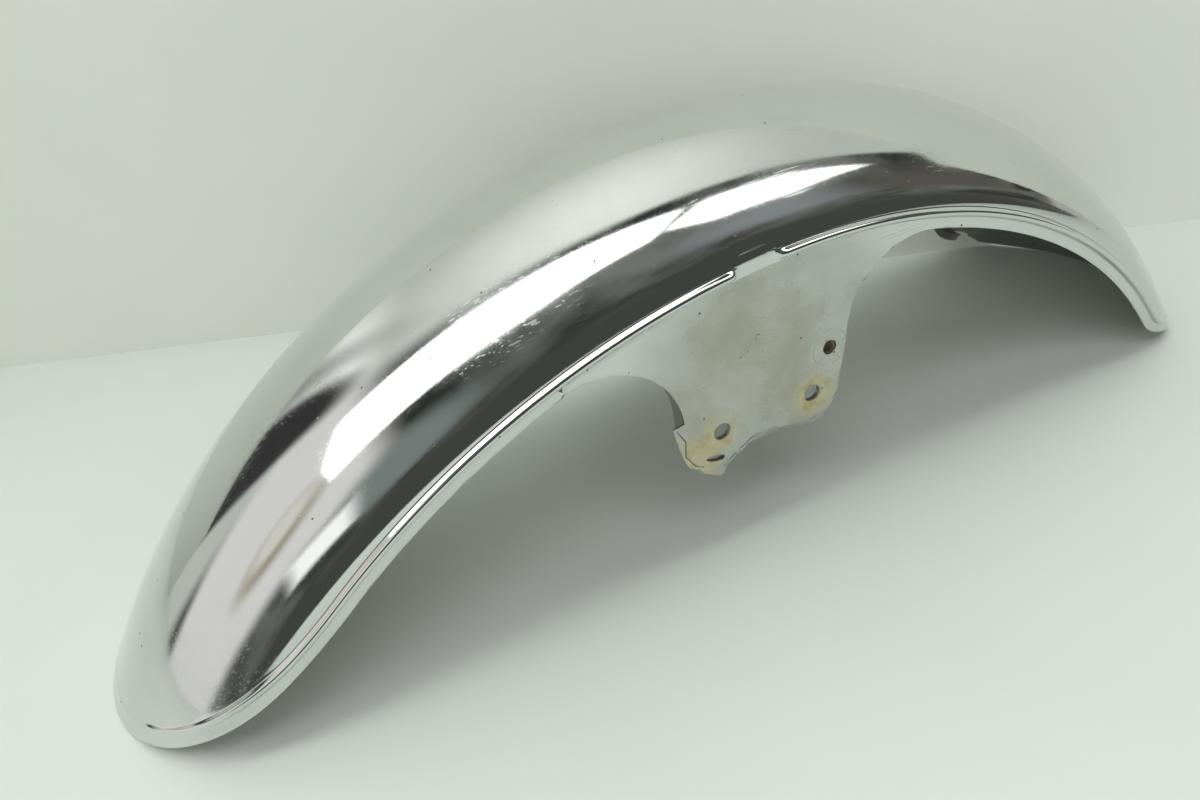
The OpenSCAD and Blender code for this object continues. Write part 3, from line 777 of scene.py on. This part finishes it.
def weld_nut(name, side, material):
    """Nut with a chamfered hexagon, the collar that centres it in the bridge, and a real thread."""
    outer_y = HALF_W - SHEET_T - SEAT_GAP
    seat_y = outer_y - BRIDGE_T
    inner_y = seat_y - NUT_H
    corners, steps = 96, 72
    thread_h, run_in, chamfer, edge = 0.6, 0.8, 0.8, 0.2
    angles = np.arange(corners) * 2 * math.pi / corners
    ones, half_flats = np.ones(corners), NUT_FLATS / 2
    hexagon = half_flats / np.cos((angles + math.pi / 6) % (math.pi / 3) - math.pi / 6)
    minor, major = THREAD_D / 2, THREAD_D / 2 + thread_h
    rings = [(outer_y - edge, ones * COLLAR_D / 2), (seat_y, ones * COLLAR_D / 2),
             (seat_y, hexagon - edge), (seat_y - edge, hexagon), (inner_y + chamfer, hexagon),
             (inner_y, np.minimum(hexagon, half_flats) - edge),
             (inner_y, ones * (major + edge))]
    depth = outer_y - inner_y
    for k in range(steps + 1):
        y = inner_y + depth * k / steps
        wave = np.abs(((y / THREAD_PITCH + angles / (2 * math.pi)) % 1) * 2 - 1)
        full = min(1.0, k * depth / steps / run_in, (steps - k) * depth / steps / run_in)
        rings.append((y, major - (major - minor) * wave * full))
    rings.append((outer_y, ones * (COLLAR_D / 2 - edge)))
    mesh = Mesh()
    numbers = []
    for y, r in rings:
        x, z = NUT_AT[0] + r * np.cos(angles), NUT_AT[1] + r * np.sin(angles)
        numbers.append(mesh.add(np.stack([x, side * y * np.ones(corners), z], axis=-1)))
    numbers.append(numbers[0])
    closed = [np.append(row, row[0]) for row in numbers]
    mesh.grid(closed if side < 0 else [row[::-1] for row in closed])
    piece = mesh.build(name, [material])
    with bpy.context.temp_override(object=piece, active_object=piece, selected_objects=[piece],
                                   selected_editable_objects=[piece]):
        bpy.ops.object.shade_smooth_by_angle(angle=SMOOTH_BELOW)
    return piece


# Camera of the photograph, fitted to it: place from the crown's foot, and angles in degrees
CAMERA_AT = (-214.65, -387.62, 328.53)
CAMERA_YAW, CAMERA_PITCH, CAMERA_ROLL = 19.57, 33.92, 10.61
FOCAL_PX, PHOTO_W, SENSOR_W, CLIP = 925.95, 1200, 36, (0.01, 50)


def make_camera():
    yaw, pitch, roll = (math.radians(v) for v in (CAMERA_YAW, CAMERA_PITCH, CAMERA_ROLL))
    forward = Vector((math.cos(pitch) * math.sin(yaw), math.cos(pitch) * math.cos(yaw),
                      -math.sin(pitch)))
    level = Vector((math.cos(yaw), -math.sin(yaw), 0))
    low = forward.cross(level)
    right = math.cos(roll) * level + math.sin(roll) * low
    down = -math.sin(roll) * level + math.cos(roll) * low
    data = bpy.data.cameras.new("camera")
    data.sensor_width = SENSOR_W
    data.lens = FOCAL_PX * SENSOR_W / PHOTO_W
    data.clip_start, data.clip_end = CLIP
    camera = bpy.data.objects.new("camera", data)
    bpy.context.collection.objects.link(camera)
    turn = Matrix((right, -down, -forward)).transposed()
    place = Vector(((CAMERA_AT[0] + CROWN_X) * MM, CAMERA_AT[1] * MM, CAMERA_AT[2] * MM))
    camera.matrix_world = Matrix.Translation(place) @ turn.to_4x4()
    bpy.context.scene.camera = camera


# Foot of the wall on the floor behind the guard, from left to right
WALL_FROM, WALL_TO = Vector((-406.3, 431.1, 0)), Vector((424.7, 5.6, 0))
# How far it goes on at either end, its height, and half the floor's side in metres
WALL_ON_LEFT, WALL_ON_RIGHT, WALL_H, FLOOR_HALF = 1500, 150, 400.0, 12.0


def plane(name, corners, material):
    mesh = bpy.data.meshes.new(name)
    mesh.from_pydata(corners, [], [(0, 1, 2, 3)])
    mesh.materials.append(material)
    piece = bpy.data.objects.new(name, mesh)
    bpy.context.collection.objects.link(piece)


def paint(name, colour, one_sided=False):
    """Plain pale paint, with hardly visible clouds. One-sided paint is clear from behind."""
    material, nodes, place = new_material(name)
    cloud, darker = nodes.noise(place, scale=5.0, detail=4.0), 0.97
    shade = nodes.mix(nodes.ramp(cloud, 0.3, 0.7), rgb(*colour), rgb(*(c * darker for c in colour)))
    shader = nodes.new("ShaderNodeBsdfPrincipled",
                       {"Base Color": shade, "Roughness": 0.55}).outputs[0]
    if one_sided:
        behind = nodes.new("ShaderNodeNewGeometry").outputs["Backfacing"]
        clear = nodes.new("ShaderNodeBsdfTransparent").outputs[0]
        shader = nodes.new("ShaderNodeMixShader", {0: behind, 1: shader, 2: clear}).outputs[0]
    nodes.new("ShaderNodeOutputMaterial", {"Surface": shader})
    return material


def make_stage():
    plane("floor", [(x * FLOOR_HALF, y * FLOOR_HALF, 0)
                    for x, y in ((-1, -1), (1, -1), (1, 1), (-1, 1))],
          paint("floor_paint", (0.74, 0.79, 0.74)))
    along = (WALL_TO - WALL_FROM).normalized()
    start, end = WALL_FROM - along * WALL_ON_LEFT, WALL_TO + along * WALL_ON_RIGHT
    top = Vector((0, 0, WALL_H))
    plane("wall", [tuple(p * MM) for p in (start, end, end + top, start + top)],
          paint("wall_paint", (0.80, 0.83, 0.76), one_sided=True))


def half_plane(nodes, spot, start, end, soft):
    """1 to the left of a line in the plane of the spot, 0 to its right."""
    along = Vector(end) - Vector(start)
    normal = Vector((-along.y, along.x)).normalized()
    offset = normal.dot(Vector(start))
    across = nodes.vector("DOT_PRODUCT", spot, (normal.x, normal.y, 0.0))
    return nodes.ramp(across, offset - soft / 2, offset + soft / 2)


def patch(nodes, spot, corners, soft):
    """1 inside a convex shape given counter-clockwise, 0 outside, with a soft edge."""
    value = None
    for start, end in zip(corners, corners[1:] + corners[:1]):
        side = half_plane(nodes, spot, start, end, soft)
        value = side if value is None else nodes.times(value, side)
    return value


def blob(nodes, spot, centre, half, turn, soft, square=False):
    """1 inside an ellipse or a rectangle with half sizes, turned by degrees, with a soft edge."""
    own = nodes.new("ShaderNodeMapping",
                    {"Vector": spot, "Location": (*centre, 0.0), "Scale": (*half, 1.0),
                     "Rotation": (0.0, 0.0, math.radians(turn))}, vector_type="TEXTURE").outputs[0]
    if square:
        x, y, _ = nodes.parts(own)
        away = nodes.most(nodes.math("ABSOLUTE", x), nodes.math("ABSOLUTE", y))
    else:
        away = nodes.vector("LENGTH", own)
    return nodes.ramp(away, 1 + soft, 1 - soft)


# Room round the guard as a map seen from below: the zenith at (0, 0), the horizon on the circle of
# radius 1, +X to the right and the wall's side up. The strips' corners run counter-clockwise.
STRIP_LONG = [(-0.481, 0.056), (-0.481, -0.015), (-0.128, -0.079), (0.077, -0.066),
              (0.136, 0.0), (0.0, 0.049), (-0.414, 0.148)]
STRIP_SHORT = [(0.10, -0.055), (0.17, -0.092), (0.29, -0.084), (0.44, -0.008), (0.165, 0.0)]
# Centre, half sizes, turn in degrees, softness, whether it is a rectangle, and radiance
ROOM = [((-0.70, 0.11), (0.34, 0.22), -8, 0.16, True, (0.86, 0.85, 0.83)),
        ((-0.47, 0.70), (0.38, 0.05), -63, 0.7, False, (0.30, 0.32, 0.29)),
        ((-0.57, 0.52), (0.35, 0.095), -53, 0.18, False, (0.045, 0.045, 0.045)),
        ((-0.62, 0.03), (0.13, 0.05), -8, 0.5, False, (0.40, 0.36, 0.26)),
        ((-0.60, 0.045), (0.10, 0.035), -8, 0.5, False, (0.82, 0.80, 0.74)),
        ((-0.38, -0.20), (0.15, 0.08), -5, 0.5, False, (0.24, 0.28, 0.27)),
        ((-0.57, -0.175), (0.085, 0.04), -15, 0.4, True, (1.3, 1.3, 1.3)),
        ((0.28, -0.14), (0.17, 0.045), 4, 0.6, False, (0.30, 0.32, 0.33)),
        ((0.60, -0.08), (0.22, 0.08), 8, 0.6, False, (0.12, 0.115, 0.10)),
        ((0.82, 0.06), (0.10, 0.035), 75, 0.4, False, (0.03, 0.03, 0.03)),
        ((0.99, 0.02), (0.10, 0.15), 10, 0.15, True, (0.50, 0.50, 0.47))]
# Radiance of the dark room's two tones, of its floor, and of the wall with two brighter places
ROOM_DARK, ROOM_PALE = rgb(0.03, 0.035, 0.03), rgb(0.24, 0.245, 0.23)
ROOM_LOW = rgb(0.07, 0.075, 0.065)
FAR_WALL, FAR_GLOW, SIDE_GLOW = rgb(0.61, 0.65, 0.59), rgb(1.10, 1.14, 1.07), rgb(1.25, 1.27, 1.22)
STRIP_LIGHT, STRIP_SOFT = rgb(3.2, 3.3, 3.2), 0.02
# The wall's lower border as a parabola in u: height, middle and bend
BORDER, BORDER_MIDDLE, BORDER_BEND = 0.037, 0.3, 0.25


def make_world():
    """Studio: pale wall and ceiling on the far side, strip lights above, a dark room in front."""
    world = bpy.data.worlds.new("studio")
    bpy.context.scene.world = world
    world.use_nodes = True
    nodes = Nodes(world.node_tree)
    way = nodes.new("ShaderNodeTexCoord").outputs["Generated"]
    x, y, z = nodes.parts(way)
    scale = nodes.math("DIVIDE", 1.0, nodes.most(nodes.plus(z, 1.0), 0.05))
    u, v = nodes.times(x, scale), nodes.times(y, scale)
    spot = nodes.new("ShaderNodeCombineXYZ", {0: u, 1: v, 2: 0.0}).outputs[0]
    from_middle = nodes.math("SUBTRACT", u, BORDER_MIDDLE)
    border = nodes.plus(BORDER, nodes.times(nodes.times(from_middle, from_middle), BORDER_BEND))
    edge = nodes.ramp(u, -0.45, 0.25, 0.11, 0.015)
    far_side = nodes.ramp(nodes.math("SUBTRACT", v, border), 0.0, edge)
    cloud = nodes.noise(spot, scale=4.5, detail=4.0)
    room = nodes.mix(nodes.ramp(cloud, 0.36, 0.64), ROOM_DARK, ROOM_PALE)
    room = nodes.mix(nodes.ramp(v, -0.05, -0.45), room, ROOM_LOW)
    wall = nodes.mix(blob(nodes, spot, (0.03, 0.17), (0.2, 0.2), 0, 0.98), FAR_WALL, FAR_GLOW)
    wall = nodes.mix(blob(nodes, spot, (-0.37, 0.36), (0.08, 0.2), -25, 0.9), wall, SIDE_GLOW)
    colour = nodes.mix(far_side, room, wall)
    for centre, half, turn, soft, square, radiance in ROOM:
        shape = blob(nodes, spot, centre, half, turn, soft, square)
        colour = nodes.mix(shape, colour, rgb(*radiance))
    for corners in (STRIP_LONG, STRIP_SHORT):
        colour = nodes.mix(patch(nodes, spot, corners, STRIP_SOFT), colour, STRIP_LIGHT)
    studio = nodes.new("ShaderNodeBackground", {"Color": colour, "Strength": 1.0})
    nodes.new("ShaderNodeOutputWorld", {"Surface": studio.outputs[0]})


# Two soft fills, low from the camera's side and high onto the wall: place, aim, sides and power
LIGHTS = {"low_fill": ((-0.6, -2.2, 0.9), (0.0, 0.2, 0.1), (3.0, 1.2), 21),
          "wall_fill": ((-0.4, -0.9, 1.6), (0.0, 0.35, 0.25), (1.6, 0.6), 7.5)}


def make_lights():
    """The fills light the room, and the chrome doesn't mirror them."""
    for name, (place, aim, sides, power) in LIGHTS.items():
        data = bpy.data.lights.new(name, "AREA")
        data.shape = "RECTANGLE"
        data.size, data.size_y = sides
        data.energy = power
        light = bpy.data.objects.new(name, data)
        bpy.context.collection.objects.link(light)
        light.location = place
        light.rotation_euler = (Vector(aim) - Vector(place)).to_track_quat("-Z", "Y").to_euler()
        light.visible_glossy = False


bpy.context.scene.view_settings.view_transform = "Standard"
make_camera()
make_stage()
make_world()
make_lights()

chrome, worn, dull, steel = chrome_plate(), worn_plate(), dull_plate(), nut_steel()
blade = blade_mesh([chrome, worn, dull, dull])
solid_sheet(blade)
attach(blade, "root")
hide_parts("blade")
for nut_name, nut_side in (("left_weld_nut", -1), ("right_weld_nut", 1)):
    nut = weld_nut(nut_name + "_threaded", nut_side, steel)
    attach(nut, "root")
    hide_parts(nut_name)
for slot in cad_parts["inner_bridge"].material_slots:
    slot.material = dull
